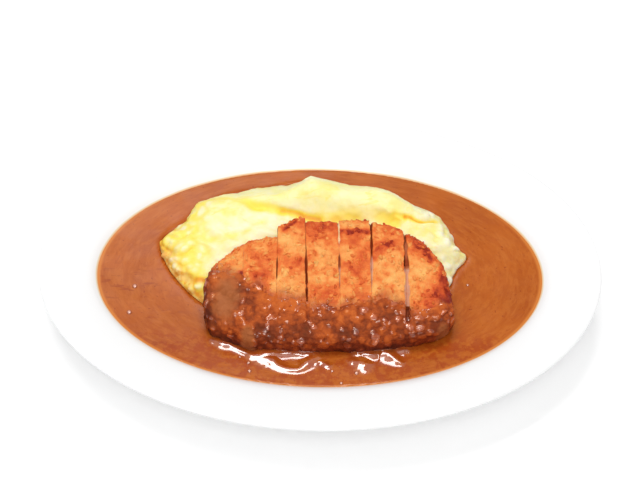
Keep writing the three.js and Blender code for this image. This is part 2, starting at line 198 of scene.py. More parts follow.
# Ripples of curry in front of the cutlet, as paths of x, y and half width on the pool.
RIPPLES = [
    [(-56.5, -48.8, 1.4), (-53, -49.2, 2.8), (-49, -50.7, 2.9), (-45.5, -52.6, 2), (-39, -56.1, 2),
     (-35.5, -58, 2.6), (-29.5, -57.8, 4.6), (-26, -56.9, 4), (-22, -55.9, 3.6), (-15, -55.6, 3),
     (-8, -56.1, 2.7), (-1.5, -57.1, 2.4)],
    [(-31, -58.6, 3.6), (-25.5, -61.1, 4), (-21, -64.6, 2.7), (-15, -66.8, 2.1), (-10, -66.8, 2.2),
     (-6.5, -63.8, 3.3), (-3, -59.8, 3.3), (0, -58.4, 2.4)],
    [(-4, -64.8, 1.2), (-2, -63.1, 1.6), (1, -61.1, 1.7), (5, -64, 1.6)],
    [(17, -53.6, 1.4), (21, -54, 3.4), (25, -54.5, 3.4), (29.5, -55.5, 3.4)],
    [(18.5, -60.8, 2), (21.5, -61.5, 3.4), (24.5, -63.2, 3.4)],
    [(31.5, -53.6, 3.2), (34.5, -54.1, 5), (38, -56.6, 4.3), (41, -59.4, 2.9), (44, -61.8, 1.6)],
    [(34.5, -53.9, 2), (38, -54.1, 1.7), (41, -53.5, 2.5), (44.5, -51.9, 3.3), (46.5, -51.5, 2.6)],
]
RIPPLE_SLOPE = 0.38  # height of a ripple over its half width
RIPPLE_AREA = (-62, 52, -72, -44)  # left, right, front and back of the stretch that they cross

# Bubbles and specks on the curry: x, y and radius.
BUBBLES = [
    (-101.3, -11.6, 1.5), (-103, -30, 1.5), (-41.7, -59.1, 0.8), (-37, -63, 1.1),
    (-36.3, -68.5, 1.2), (12.4, -75.4, 1), (20.5, -68.5, 1.4), (7.5, -67.5, 0.9),
    (71.5, -13.5, 1.1), (81.4, -6.5, 0.9),
]
BUBBLE_SLOPE = 0.45  # height of a bubble over its radius

CAMERA_PLACE = Vector((0, -707.07, 862.65)) * MM
CAMERA_AIM = Vector((-3.7, 12.6, 30.6)) * MM
CAMERA_ROLL = math.radians(-0.8)
CAMERA_LENS = 114.0
CAMERA_SENSOR = 36

# Lights, in metres: name, place, aim, width and height, and watts. The wide softbox in front has a
# brighter core, the small key makes the glints, and the panel is for its reflection, a pale sheen on
# the left of the curry.
LIGHTS = [
    ("softbox", (0, -1.3, 1.9), (0, 0, 0), (3.0, 3.0), 17),
    ("softbox_core", (0, -1.29, 1.885), (0, 0, 0), (0.8, 0.8), 8.8),
    ("key", (-0.12, 0.2, 1.25), (0, 0, 0.02), (0.8, 0.3), 6.4),
]
PANEL = ("panel", (-0.224, 1.504, 1.5), (-0.224, 1.504, 0), (0.55, 0.6), 3.1)
PANEL_TURN = math.radians(-27)
STUDIO_BRIGHTNESS = 0.48
FLOOR_HALF = 6.0  # half the side of the floor, in metres

# ---------- noise on arrays of points


def _random(ix, iy, iz, seed):
    """Repeatable random numbers from 0 to 1 for whole-number cells."""
    n = ix * 73856093 + iy * 19349663 + iz * 83492791 + seed * 26544357
    n = (n ^ (n >> 13)) * 1274126177
    n = (n ^ (n >> 16)) & 0xFFFFFF
    n = (n * 16807 + 12345) & 0xFFFFFF
    return n / 0x1000000


def _cell(points, size):
    """The whole-number cell that each point lies in, and its place in it from 0 to 1."""
    scaled = points / size
    base = np.floor(scaled)
    return base.astype(np.int64), scaled - base


def smooth_noise(points, size, seed=0):
    """Value noise from -1 to 1 with features of about the given size."""
    cell, part = _cell(points, size)
    part = part * part * part * (part * (part * 6 - 15) + 10)
    total = np.zeros(len(points))
    for corner in np.ndindex(2, 2, 2):
        share = np.prod(np.where(corner, part, 1 - part), axis=1)
        total += share * _random(*(cell + corner).T, seed)
    return total * 2 - 1


def layered_noise(points, size, layers=3, seed=0):
    """Noise from -1 to 1 in layers, each half the size and strength of the one before."""
    total = np.zeros(len(points))
    for layer in range(layers):
        total += smooth_noise(points, size / 2**layer, seed + layer) / 2**layer
    return total / (2 - 2.0 ** (1 - layers))


def crumb_cells(points, size, seed=0):
    """For centres scattered one to a cell: distance to the nearest, in cell sizes, and its random
    number."""
    cell, part = _cell(points, size)
    nearest = np.full(len(points), np.inf)
    tag = np.zeros(len(points))
    for neighbour in np.ndindex(3, 3, 3):
        step = np.array(neighbour) - 1
        place = (cell + step).T
        centre = np.stack([_random(*place, seed + k) for k in (1, 2, 3)], 1)
        away = np.linalg.norm(centre + step - part, axis=1)
        tag = np.where(away < nearest, _random(*place, seed + 4), tag)
        nearest = np.minimum(nearest, away)
    return nearest, tag


def bent(points, amount, size, seed, axes=3):
    """Points pushed aside by noise along the first axes, so that what is laid on them is uneven."""
    push = np.stack([smooth_noise(points, size, seed + axis) for axis in range(axes)], 1)
    return points[:, :axes] + amount * push


def smoothstep(value, low, high):
    t = np.clip((value - low) / (high - low), 0, 1)
    return t * t * (3 - 2 * t)


def bell(distance, width):
    """1 at no distance, fading out over about the width."""
    return np.exp(-((distance / width) ** 2))


def unit(vectors):
    return vectors / np.linalg.norm(vectors, axis=1, keepdims=True)


def curve_at(pairs, x):
    """Height at each x of the line through the pairs."""
    return np.interp(x, [p[0] for p in pairs], [p[1] for p in pairs])


def smooth_path(path, steps=6):
    """More points along a path, on the Catmull-Rom curve through it."""
    p = np.array([path[0], *path, path[-1]], float)
    t = (np.arange(steps) / steps)[:, None]
    made = []
    for a, b, c, d in zip(p[:-3], p[1:-2], p[2:-1], p[3:]):
        made.append(b + 0.5 * t * (c - a + t * (2 * a - 5 * b + 4 * c - d + t * (3 * (b - c) + d - a))))
    return np.concatenate([*made, p[-1:]])


def distance_to_path(xy, path):
    """Distance in plan from each point to a path, and the path's third value at the nearest place."""
    path = smooth_path(path)
    best = np.full(len(xy), np.inf)
    width = np.ones(len(xy))
    for a, b in zip(path[:-1], path[1:]):
        run = b[:2] - a[:2]
        along = np.clip(((xy - a[:2]) @ run) / (run @ run), 0, 1)
        away = np.linalg.norm(xy - a[:2] - along[:, None] * run, axis=1)
        closer = away < best
        best = np.where(closer, away, best)
        if len(a) > 2:
            width = np.where(closer, a[2] + along * (b[2] - a[2]), width)
    return best, width


# ---------- mesh helpers


def add_object(name, data):
    made = bpy.data.objects.new(name, data)
    bpy.context.scene.collection.objects.link(made)
    return made


@contextmanager
def edited(mesh):
    """The mesh as a bmesh, written back after the edit."""
    bm = bmesh.new()
    bm.from_mesh(mesh)
    yield bm
    bm.to_mesh(mesh)
    bm.free()


def copy_of(node, name):
    """A new piece with the CAD node's mesh, its shared vertices merged."""
    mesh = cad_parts[node].data.copy()
    mesh.name = name
    mesh.materials.clear()
    with edited(mesh) as bm:
        bmesh.ops.remove_doubles(bm, verts=bm.verts, dist=0.00001)
    return add_object(name, mesh)


def apply_modifiers(piece):
    """Swaps the piece's mesh for what its modifiers make of it."""
    depsgraph = bpy.context.evaluated_depsgraph_get()
    made = bpy.data.meshes.new_from_object(piece.evaluated_get(depsgraph))
    old = piece.data
    piece.modifiers.clear()
    piece.data = made
    bpy.data.meshes.remove(old)
    made.name = piece.name


def subdivided(node, name, levels):
    """The CAD node as a smooth subdivision surface."""
    piece = copy_of(node, name)
    flat, even = math.radians(50), math.radians(60)
    with edited(piece.data) as bm:
        bmesh.ops.join_triangles(
            bm, faces=bm.faces, angle_face_threshold=flat, angle_shape_threshold=even,
        )
    modifier = piece.modifiers.new("smooth", "SUBSURF")
    modifier.levels = levels
    modifier.render_levels = levels
    apply_modifiers(piece)
    return piece


def refine(piece, is_wanted):
    """Cuts in four each face whose middle, in millimetres, passes the test."""
    with edited(piece.data) as bm:
        edges = {e for f in bm.faces if is_wanted(f.calc_center_median() / MM) for e in f.edges}
        bmesh.ops.subdivide_edges(bm, edges=list(edges), cuts=1, use_grid_fill=True, smooth=1)


def remeshed(node, name, voxel_mm):
    """The CAD node as an even grid of small faces."""
    piece = copy_of(node, name)
    modifier = piece.modifiers.new("grid", "REMESH")
    modifier.mode = "VOXEL"
    modifier.voxel_size = voxel_mm * MM
    modifier.adaptivity = 0
    apply_modifiers(piece)
    return piece


def vertex_vectors(piece, kind):
    vectors = np.empty(len(piece.data.vertices) * 3)
    piece.data.vertices.foreach_get(kind, vectors)
    return vectors.reshape(-1, 3)


def points_of(piece):
    """Vertex places in millimetres."""
    return vertex_vectors(piece, "co") / MM


def normals_of(piece):
    return vertex_vectors(piece, "normal")


def move_points(piece, points):
    piece.data.vertices.foreach_set("co", (points * MM).ravel())
    piece.data.update()


def set_masks(piece, **masks):
    """Stores numbers from 0 to 1 for each vertex, by name, for the material to read."""
    for name, values in masks.items():
        mask = piece.data.attributes.new(name, "FLOAT", "POINT")
        mask.data.foreach_set("value", np.clip(values, 0, 1).astype(np.float32))


def tree_of(*pieces):
    """A search tree over the faces of some pieces, in millimetres."""
    points, faces, start = [], [], 0
    for piece in pieces:
        co = points_of(piece)
        points.append(co)
        faces += [[start + v for v in p.vertices] for p in piece.data.polygons]
        start += len(co)
    return BVHTree.FromPolygons(np.concatenate(points).tolist(), faces)


def distance_to(tree, points, reach):
    """Distance from each point to the nearest face, or the reach where that is further."""
    found = [tree.find_nearest(Vector(p), reach) for p in points]
    return np.array([reach if hit[3] is None else hit[3] for hit in found])


def way_to(tree, points, reach):
    """Distance from each point to the nearest face, and the direction to it."""
    away = np.full(len(points), float(reach))
    way = np.zeros((len(points), 3))
    for i, point in enumerate(points):
        place, _, _, distance = tree.find_nearest(Vector(point), reach)
        if distance:
            away[i] = distance
            way[i] = (np.array(place) - point) / distance
    return away, way


def to_cutlet(points):
    """Points in the cutlet's own frame."""
    return (points - CUTLET_PLACE) @ CUTLET_TURN


def stand_out(local):
    """How far points given in the cutlet's frame move to follow the photo's outline."""
    x, y, _ = local.T
    moved = np.zeros_like(local)
    moved[:, 0] = curve_at(RIGHT_STAND_OUT, y) * smoothstep(x, *RIGHT_MOVES)
    moved[:, 1] = curve_at(BACK_STAND_OUT, x) * smoothstep(y - curve_at(CUTLET_BACK, x), *BACK_MOVES)
    return moved @ CUTLET_TURN.T


def finish_piece(piece, slot, material, *nodes):
    """Shades a piece, gives it the material, and tells the frame its body and the nodes that it
    replaces.
    The slot is not used.
    """
    piece.data.polygons.foreach_set("use_smooth", np.ones(len(piece.data.polygons), bool))
    piece.data.update()
    piece.data.materials.append(material)
    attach(piece, "root")
    if nodes:
        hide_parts(*nodes)


# ---------- material helpers


class Shader:
    """Builds one node material round a Principled BSDF."""

    def __init__(self, name, **sockets):
        self.material = bpy.data.materials.new(name)
        self.material.use_nodes = True
        self.tree = self.material.node_tree
        self.place = self.node("TexCoord").outputs["Object"]
        self.complete(**sockets)

    def complete(self, **sockets):
        """Fills the surface's sockets, named with _ for a space, and gives the material."""
        surface = self.tree.nodes["Principled BSDF"]
        for socket, value in sockets.items():
            self.fill(surface.inputs[socket.replace("_", " ")], value)
        return self.material

    def fill(self, socket, value):
        """Sets a socket to a number, vector or colour, or links it to another node's output."""
        if isinstance(value, (float, int)):
            socket.default_value = value
        elif isinstance(value, tuple):
            socket.default_value = (*value, 1) if socket.type == "RGBA" else value
        else:
            self.tree.links.new(value, socket)

    def node(self, kind, inputs=None, **settings):
        made = self.tree.nodes.new("ShaderNode" + kind)
        for key, value in settings.items():
            setattr(made, key, value)
        for socket, value in (inputs or {}).items():
            self.fill(made.inputs[socket], value)
        return made

    def stretched(self, x, y, z, turn=0.0):
        """Object coordinates scaled and turned about Z, for patterns that run one way."""
        inputs = {"Vector": self.place, "Scale": (x, y, z), "Rotation": (0, 0, turn)}
        return self.node("Mapping", inputs).outputs["Vector"]

    def noise(self, size_mm, detail=3.0, roughness=0.55, distortion=0.0, at=None):
        inputs = {
            "Vector": at or self.place, "Scale": 1000 / size_mm, "Detail": detail,
            "Roughness": roughness, "Distortion": distortion,
        }
        return self.node("TexNoise", inputs).outputs["Fac"]

    def centred(self, most, *noise):
        """Noise, described as in noise(), about zero and times a number."""
        return self.math("MULTIPLY", self.math("SUBTRACT", self.noise(*noise), 0.5), most)

    def mask(self, name):
        """The numbers that set_masks stored on the mesh."""
        return self.node("Attribute", attribute_name=name).outputs["Fac"]

    def ramp(self, source, *stops):
        """Reads a colour from (place, colour) stops."""
        made = self.node("ValToRGB", {"Fac": source})
        bar = made.color_ramp
        while len(bar.elements) < len(stops):
            bar.elements.new(0.5)
        for element, (place, colour) in zip(bar.elements, stops):
            element.position = place
            element.color = (*colour, 1)
        return made.outputs["Color"]

    def spread(self, source, low, high, to_low=0.0, to_high=1.0):
        """Takes low to high smoothly to another range, from 0 to 1 unless it is given."""
        inputs = {
            "Value": source, "From Min": low, "From Max": high, "To Min": to_low, "To Max": to_high,
        }
        made = self.node("MapRange", inputs, interpolation_type="SMOOTHSTEP")
        return made.outputs["Result"]

    def mix(self, share, first, second):
        """A share of the second colour in the first."""
        inputs = {"Factor": share, 6: first, 7: second}
        return self.node("Mix", inputs, data_type="RGBA").outputs[2]

    def tint(self, tone, mask, most, colour):
        """The tone with some of the colour in it where the mask says, and at most so much."""
        return self.mix(self.math("MULTIPLY", mask, most), tone, colour)

    def math(self, operation, *values):
        return self.node("Math", dict(enumerate(values)), operation=operation).outputs[0]

    def vector_math(self, operation, *values):
        made = self.node("VectorMath", dict(enumerate(values)), operation=operation)
        return made.outputs["Value" if operation == "LENGTH" else "Vector"]

    def up_to(self, axis, low, high, least=0.0):
        """1 up to the low place on an axis, in metres, and fading to the least at the high one."""
        along = self.node("SeparateXYZ", {"Vector": self.place}).outputs[axis]
        return self.spread(along, low, high, 1, least)

    def over_pool(self):
        """Coordinates in plan from the plate's middle, of length 1 along the curry's edge."""
        return self.stretched(1 / (SHORE[0] * MM), 1 / (SHORE[1] * MM), 0)

    def from_middle(self):
        """Distance from the plate's middle, 1 along the curry's edge."""
        return self.vector_math("LENGTH", self.over_pool())

    def swirl(self, along, across):
        """Coordinates for streaks round the plate, in features per radian and per radius."""
        flat = self.over_pool()
        heading = self.vector_math("MULTIPLY", self.vector_math("NORMALIZE", flat), (along, along, 0))
        outward = self.math("MULTIPLY", self.vector_math("LENGTH", flat), across)
        apart = self.node("CombineXYZ", {"Z": outward}).outputs["Vector"]
        return self.vector_math("ADD", heading, apart)

    def bump(self, height, distance_mm, strength=1.0, over=None):
        inputs = {"Distance": distance_mm * MM, "Strength": strength, "Height": height}
        if over is not None:
            inputs["Normal"] = over
        return self.node("Bump", inputs).outputs["Normal"]


# ---------- materials

RUNNY_CURRY = (0.375, 0.124, 0.044)  # the smooth curry at the cutlet's left end: its brown with a painted grey sheen


def porcelain():
    shader = Shader("porcelain", Roughness=0.16, IOR=1.5, Coat_Weight=0.4, Coat_Roughness=0.05)
    colour = shader.mix(shader.noise(90, 2), (0.87, 0.872, 0.875), (0.9, 0.9, 0.9))
    # A thin film of curry on the glaze just beyond the pool's edge.
    beyond = shader.math("ADD", shader.from_middle(), shader.centred(0.005, 26, 3))
    film = shader.ramp(
        shader.spread(beyond, 0.991, 1.004),
        (0, (0.7454, 0.3916, 0.162)), (0.3, (0.7991, 0.5395, 0.305)), (0.7, (0.8148, 0.7305, 0.5149)),
        (1, (0.88, 0.88, 0.87)),
    )
    below = shader.up_to("Z", 0.022, 0.023)
    bare = shader.math("MAXIMUM", shader.spread(beyond, 1, 1.006), below)
    uneven = shader.bump(shader.noise(22, 1), 0.05, 0.4)
    return shader.complete(Base_Color=shader.mix(bare, film, colour), Normal=uneven)


def curry():
    shader = Shader("curry", IOR=1.34, Coat_IOR=2, Coat_Roughness=0.06)
    slow = shader.spread(shader.noise(30, 3), 0.35, 0.65)
    tone = shader.mix(slow, (0.385, 0.08, 0.0065), (0.45, 0.101, 0.009))
    # Pale streaks and dark hairs run round the plate, and specks of spice lie all over.
    streaks = shader.spread(shader.noise(1000, 4, 0.62, 0.6, shader.swirl(7, 34)), 0.36, 0.68)
    tone = shader.tint(tone, streaks, 0.5, (0.53, 0.15, 0.02))
    hairs = shader.spread(shader.noise(1000, 3, 0.6, 1, shader.swirl(16, 90)), 0.5, 0.72)
    tone = shader.tint(tone, hairs, 0.4, (0.32, 0.05, 0.005))
    specks = shader.spread(shader.noise(1.9, 1, 0.5), 0.7, 0.78)
    tone = shader.tint(tone, specks, 0.6, (0.24, 0.028, 0.004))
    # The front has dark blotches, and the left has short dashes up to its middle.
    front = shader.up_to("Y", -0.05, -0.035)
    blotches = shader.math("MULTIPLY", shader.spread(shader.noise(5.5, 5, 0.7), 0.44, 0.56), front)
    tone = shader.tint(tone, blotches, 0.65, (0.33, 0.042, 0.004))
    left = shader.math("MULTIPLY", shader.up_to("X", -0.085, -0.065), shader.up_to("Y", -0.01, 0.015))
    dashes = shader.spread(shader.noise(2.6, 2, 0.5, 0.3, shader.stretched(0.3, 1, 1)), 0.57, 0.7)
    tone = shader.tint(tone, shader.math("MULTIPLY", dashes, left), 0.7, (0.3, 0.048, 0.006))
    tone = shader.mix(shader.mask("shade"), tone, (0.3, 0.05, 0.005))
    # Painted highlight on the bubbles' tops.
    tone = shader.mix(shader.mask("foam"), tone, (0.72, 0.35, 0.23))
    # It thins out to a paler line along its edge, less so at the back.
    thin = shader.spread(shader.from_middle(), 0.973, 0.988)
    tone = shader.tint(tone, thin, shader.up_to("Y", 0.02, 0.06, 0.15), (0.6, 0.19, 0.033))
    fine = shader.bump(shader.noise(2.2, 3), 0.05, 0.2)
    return shader.complete(
        Base_Color=tone,
        Coat_Weight=shader.mask("gloss"),
        Roughness=shader.spread(shader.noise(12, 2), 0.3, 0.7, 0.16, 0.26),
        Normal=shader.bump(shader.noise(12, 2), 0.3, 0.2, fine),
    )


def egg():
    shader = Shader(
        "egg", Roughness=0.42, IOR=1.38, Subsurface_Weight=0.3, Subsurface_Scale=0.003,
        Subsurface_Radius=(1, 0.7, 0.25),
    )
    cloudy = shader.spread(shader.noise(16, 5, 0.6), 0.36, 0.64)
    tone = shader.mix(cloudy, (0.86, 0.79, 0.29), (0.88, 0.85, 0.48))
    streaky = shader.noise(6, 4, 0.6, 1, shader.stretched(0.5, 1.4, 1, math.radians(-35)))
    tone = shader.mix(shader.spread(streaky, 0.5, 0.72, 0, 0.7), tone, (0.86, 0.74, 0.17))
    # Painted shade: the hollows take the deeper yellow that shade has on the egg.
    tone = shader.mix(shader.mask("hollow"), tone, (0.93, 0.79, 0.16))
    # The stain is the wetter egg's yellow and orange, with painted shade in the folds and between
    # curds.
    stain = shader.mask("stain")
    tone = shader.mix(shader.spread(stain, -0.1, 0.7), tone, (0.95, 0.74, 0.08))
    tone = shader.mix(shader.spread(stain, 0.45, 1.05), tone, (0.84, 0.34, 0.02))
    rim = shader.mix(shader.spread(shader.noise(5, 3), 0.4, 0.6), (0.76, 0.33, 0.05), (0.88, 0.62, 0.2))
    tone = shader.mix(shader.mask("rim"), tone, rim)
    tone = shader.mix(shader.mask("curds"), tone, (0.92, 0.88, 0.74))
    pores = shader.bump(shader.noise(0.9, 2), 0.06, 0.5)
    return shader.complete(Base_Color=tone, Normal=shader.bump(shader.noise(2.4, 4), 0.3, 0.45, pores))


def crust(name, roughness):
    shader = Shader(
        name, IOR=1.45, Specular_IOR_Level=0.25, Subsurface_Weight=0.25, Subsurface_Scale=0.0006,
        Subsurface_Radius=(1, 0.5, 0.25), Coat_IOR=1.8, Coat_Roughness=0.08,
    )
    # How far the crumbs are fried comes from the mesh, with two painted shadow lines in it, and fine
    # noise breaks it up.
    grain = shader.centred(0.7, 2.4, 4, 0.65)
    tone = shader.ramp(
        shader.math("ADD", shader.mask("brown"), grain),
        (0, (0.84, 0.42, 0.12)), (0.3, (0.8, 0.28, 0.065)), (0.5, (0.74, 0.17, 0.032)),
        (0.75, (0.58, 0.08, 0.014)), (1, (0.29, 0.02, 0.005)),
    )
    wet = shader.mask("wet")
    patchy = shader.spread(shader.noise(4, 3), 0.4, 0.6)
    soaked = shader.mix(patchy, (0.33, 0.056, 0.008), (0.52, 0.105, 0.015))
    # Painted sheen: grey-brown where the curry has run smooth over the crumbs.
    soaked = shader.mix(shader.mask("runny"), soaked, RUNNY_CURRY)
    soaked = shader.mix(shader.spread(shader.mask("brown"), 0.7, 0.95), soaked, (0.2, 0.016, 0.008))
    tone = shader.tint(tone, wet, 0.9, soaked)
    # Meat on the cut faces: its own colour, with painted shade where the tone is dark, light where
    # pale.
    meat = shader.ramp(
        shader.math("ADD", shader.mask("tone"), shader.math("MULTIPLY", grain, 0.3)),
        (0, (0.3, 0.045, 0.01)), (0.3, (0.5, 0.15, 0.06)), (0.55, (0.64, 0.31, 0.2)),
        (1, (0.95, 0.88, 0.52)),
    )
    tone = shader.mix(shader.mask("meat"), tone, meat)
    return shader.complete(
        Base_Color=tone,
        Coat_Weight=shader.mask("gloss"),
        Roughness=shader.spread(wet, 0, 1, roughness, 0.4),
        Normal=shader.bump(shader.noise(1.1, 4, 0.7), 0.25, 0.5),
    )


def curry_glaze():
    shader = Shader(
        "curry_glaze", IOR=1.5, Specular_Tint=(1, 0.6, 0.28), Coat_IOR=1.75, Coat_Roughness=0.05,
    )
    cloudy = shader.centred(1.25, 4.5, 4, 0.65, 0.6)
    tone = shader.ramp(
        shader.math("ADD", shader.mask("depth"), cloudy),
        (0, (0.54, 0.108, 0.016)), (0.3, (0.37, 0.058, 0.009)), (0.6, (0.18, 0.02, 0.005)),
        (1, (0.08, 0.007, 0.003)),
    )
    patchy = shader.spread(shader.noise(6, 4, 0.6), 0.35, 0.65)
    # Where the curry has run smooth: its own brown with a painted grey sheen.
    smooth = shader.mix(patchy, (0.27, 0.068, 0.018), (0.36, 0.106, 0.037))
    tone = shader.mix(shader.mask("runny"), tone, smooth)
    return shader.complete(
        Base_Color=tone,
        Roughness=shader.spread(shader.mask("gloss"), 0, 0.7, 0.6, 0.08),
        Coat_Weight=shader.spread(shader.mask("gloss"), 0.4, 1),
        Normal=shader.bump(shader.noise(1.3, 3), 0.12, 0.3),
    )


# ---------- pieces


def make_plate():
    piece = subdivided("plate", "plate_porcelain", 2)
    finish_piece(piece, "porcelain", porcelain(), "plate")


def egg_folds(points):
    """Depth of the folds pressed into the omelette at each point, and how stained it is there, partly
    the wetter egg's colour and partly painted shade in the fold.
    """
    plan = bent(points, 1.4, 7, 51, axes=2)
    depth = np.zeros(len(points))
    stain = np.zeros(len(points))
    for deepest, half_width, strength, path in FOLDS:
        in_fold = bell(distance_to_path(plan, path)[0], half_width)
        depth += deepest * in_fold
        stain = np.maximum(stain, strength * in_fold)
    return depth, stain * (0.9 + 0.3 * smooth_noise(points, 9, 6))


def make_omelette():
    """The egg sheet, with its folds, wrinkles and curds, from the curry's level upwards."""
    piece = subdivided("omelette", "omelette_sheet", 2)
    refine(piece, lambda middle: middle.z > CURRY_LEVEL - 2)
    points = points_of(piece)
    normals = normals_of(piece)
    x, y, z = points.T
    exposed = smoothstep(z, CURRY_LEVEL - 1, CURRY_LEVEL + 2)
    behind = smoothstep(y - curve_at(FOLD_LINE, x), 0, 8)
    left = 1 - smoothstep(x, *EGG_LEFT)
    right = smoothstep(x, *EGG_RIGHT)
    low = 1 - smoothstep(z, CURRY_LEVEL + 2, CURRY_LEVEL + 10)
    # Long soft wrinkles run up the sheet, and curds lie along its left edge and on the right.
    slant = np.stack([x * 0.5 + y * 0.85, -x * 0.28 + y * 0.16, z * 0.4], 1)
    wrinkles = 1 - np.abs(smooth_noise(slant, 6.5, 3)) * 2
    near, tag = crumb_cells(points + 2.0 * layered_noise(points, 7, 2, 44)[:, None], CURD_SIZE, 5)
    curd = (1 - smoothstep(near, 0, 0.75)) * (0.3 + 0.7 * tag)
    folds, stain = egg_folds(points)
    bump = 0.7 * layered_noise(points, 13, 3, 1) * (1 - 0.5 * behind)
    bump += (0.6 - 0.3 * behind) * wrinkles * (1 - right)
    bump += (1.2 * right + 2.4 * low * left + 0.35 * (1 - behind)) * (curd - 0.3)
    bump += 0.35 * layered_noise(points, 4, 2, 17) * (1 - 0.5 * behind)
    bump += 0.10 * layered_noise(points, 1.8, 1, 9) - folds
    stretch = curve_at(BACK_EDGE, x) * smoothstep(normals[:, 1], 0.05, 0.5)
    move_points(piece, points + normals * ((bump + stretch) * exposed)[:, None])
    # Painted shade: orange between the curds on the left, more of it low down.
    between_curds = (0.25 + 0.75 * smoothstep(near, 0.2, 0.8)) * left * (0.5 + 0.65 * low)
    soaked = low * (0.25 + 0.7 * left) * smoothstep(smooth_noise(points, 6, 8), -0.4, 0.4)
    pale = np.maximum(right, 0.6 * (1 - behind)) * (1 - left) * smoothstep(bump, -0.8, 1.2)
    pale_left = 0.5 * left * smoothstep(curd, 0.3, 0.7) * smoothstep(x, -88, -80)
    set_masks(
        piece,
        # painted shade in the hollows
        hollow=smoothstep(-bump, 0.1, 1.5) * exposed,
        stain=np.maximum(stain, between_curds) * exposed,
        rim=np.maximum(soaked, 1 - smoothstep(z, CURRY_LEVEL + 0.2, CURRY_LEVEL + 2)),
        curds=np.maximum(pale, pale_left) * (1 - stain),
    )
    finish_piece(piece, "egg", egg(), "omelette")
    return piece


def crumb_relief(local):
    """Height of the fried crumbs' bed, in millimetres, at points in the cutlet's frame."""
    uneven = bent(local, 1.1, 2.6, 51)
    near, tag = crumb_cells(uneven, CRUMB_SIZE, 31)
    lumps = (0.2 + 0.8 * tag) * (1 - smoothstep(near, 0.05, 0.85))
    ragged = 1 - 2 * np.abs(smooth_noise(uneven, 2.0, 38))
    return 0.65 * lumps + 0.3 * ragged + 0.35 * layered_noise(local, 9, 2, 42) - 0.35


def browning(local):
    """How dark the crust is fried, from 0 to 1, at points in the cutlet's frame, with two painted
    shadow lines at the back edge.
    """
    value = 0.41 + 0.38 * layered_noise(local, 9, 3, 40) + 0.17 * smooth_noise(local, 3.2, 47)
    plan = bent(local, 1.4, 4, 55, axes=2)
    for strength, radius, path in BROWNED:
        value += strength * bell(distance_to_path(plan, path)[0], radius)
    edge = smoothstep(-local[:, 2], 0.8, 4.0)
    return value + 0.16 * edge * smoothstep(local[:, 1], -5, 15)


def above_coat(local):
    """Distance up the slope from the coat's limit, in millimetres."""
    return local[:, 1] - curve_at(COAT_LIMIT, local[:, 0])


def wetness(local):
    """How far the poured curry has soaked the crust near the coat."""
    return 1 - smoothstep(above_coat(local) + 3.5 * smooth_noise(local, 6, 12), -3, 5)


def runniness(local):
    """How far the curry has run smooth over the crumbs."""
    nearest = np.full(len(local), np.inf)
    for middle, half_width, half_length in RUNNY_PATCHES:
        away = np.hypot((local[:, 0] - middle[0]) / half_width, (local[:, 1] - middle[1]) / half_length)
        nearest = np.minimum(nearest, away)
    return 1 - smoothstep(nearest + 0.4 * layered_noise(local, 6, 3, 19), 0.35, 1.15)


def cut_line(cut, y):
    """x of a knife cut at each y in the cutlet's frame."""
    return np.interp(y, [CUTLET_FRONT_Y, CUTLET_BACK_Y], [cut[1], cut[0]])


def cut_looks(number, local, to_skin):
    """How far each point of a slice moves to shut the nearer cut, and the tone of the meat in it."""
    to_right = local[:, 0] > local[:, 0].mean()
    closed = np.zeros(len(local))
    tone = np.full(len(local), 0.4)
    for index, on_side, side in ((number - 1, ~to_right, -1), (number, to_right, 1)):
        if 0 <= index < len(CUTS):
            _, _, opening, looks = CUTS[index]
            knots, stands_open, paleness = np.array(looks[::-1], float).T
            # Painted shade: the meat darkens from 2 to 4 mm down into the cut.
            pale = np.interp(local[:, 1], knots, paleness) * (1 - 0.8 * smoothstep(-local[:, 2], 2, 4))
            bottom = np.interp(pale, (0, 1), CUT_DEPTH)
            shallow = 1 - smoothstep(to_skin, bottom - 0.4, bottom + 0.3)
            along = np.stack([np.full(len(local), 50.0 * index), local[:, 1], 0 * pale], 1)
            ragged = 1 + 0.45 * smooth_noise(along, 3.5, 77)
            shut = 1 - shallow * ragged * np.interp(local[:, 1], knots, stands_open)
            closed = np.where(on_side, side * shut * (opening / 2 + CUT_OVERLAP), closed)
            tone = np.where(on_side, pale, tone)
    return closed, tone


def cad_surface(node, number):
    """Search trees over a slice's crusted skin and over its knife-cut faces."""
    cad = copy_of(node, node + "_cad")
    points = points_of(cad)
    ends = {0: -1, len(SLICES) - 1: 1}
    skin, cut = [], []
    for face in cad.data.polygons:
        corners = [tuple(points[v]) for v in face.vertices]
        from_middle = sum(c[0] for c in corners) / len(corners) - CUTLET_PLACE[0]
        at_tip = from_middle * ends.get(number, 0) > TIP_X
        is_cut = abs(face.normal.x) > CUT_NORMAL and not at_tip
        (cut if is_cut else skin).append(corners)
    bpy.data.objects.remove(cad)
    trees = []
    for faces in (skin, cut):
        index = np.arange(3 * len(faces)).reshape(-1, 3).tolist()
        trees.append(BVHTree.FromPolygons([c for f in faces for c in f], index))
    return trees


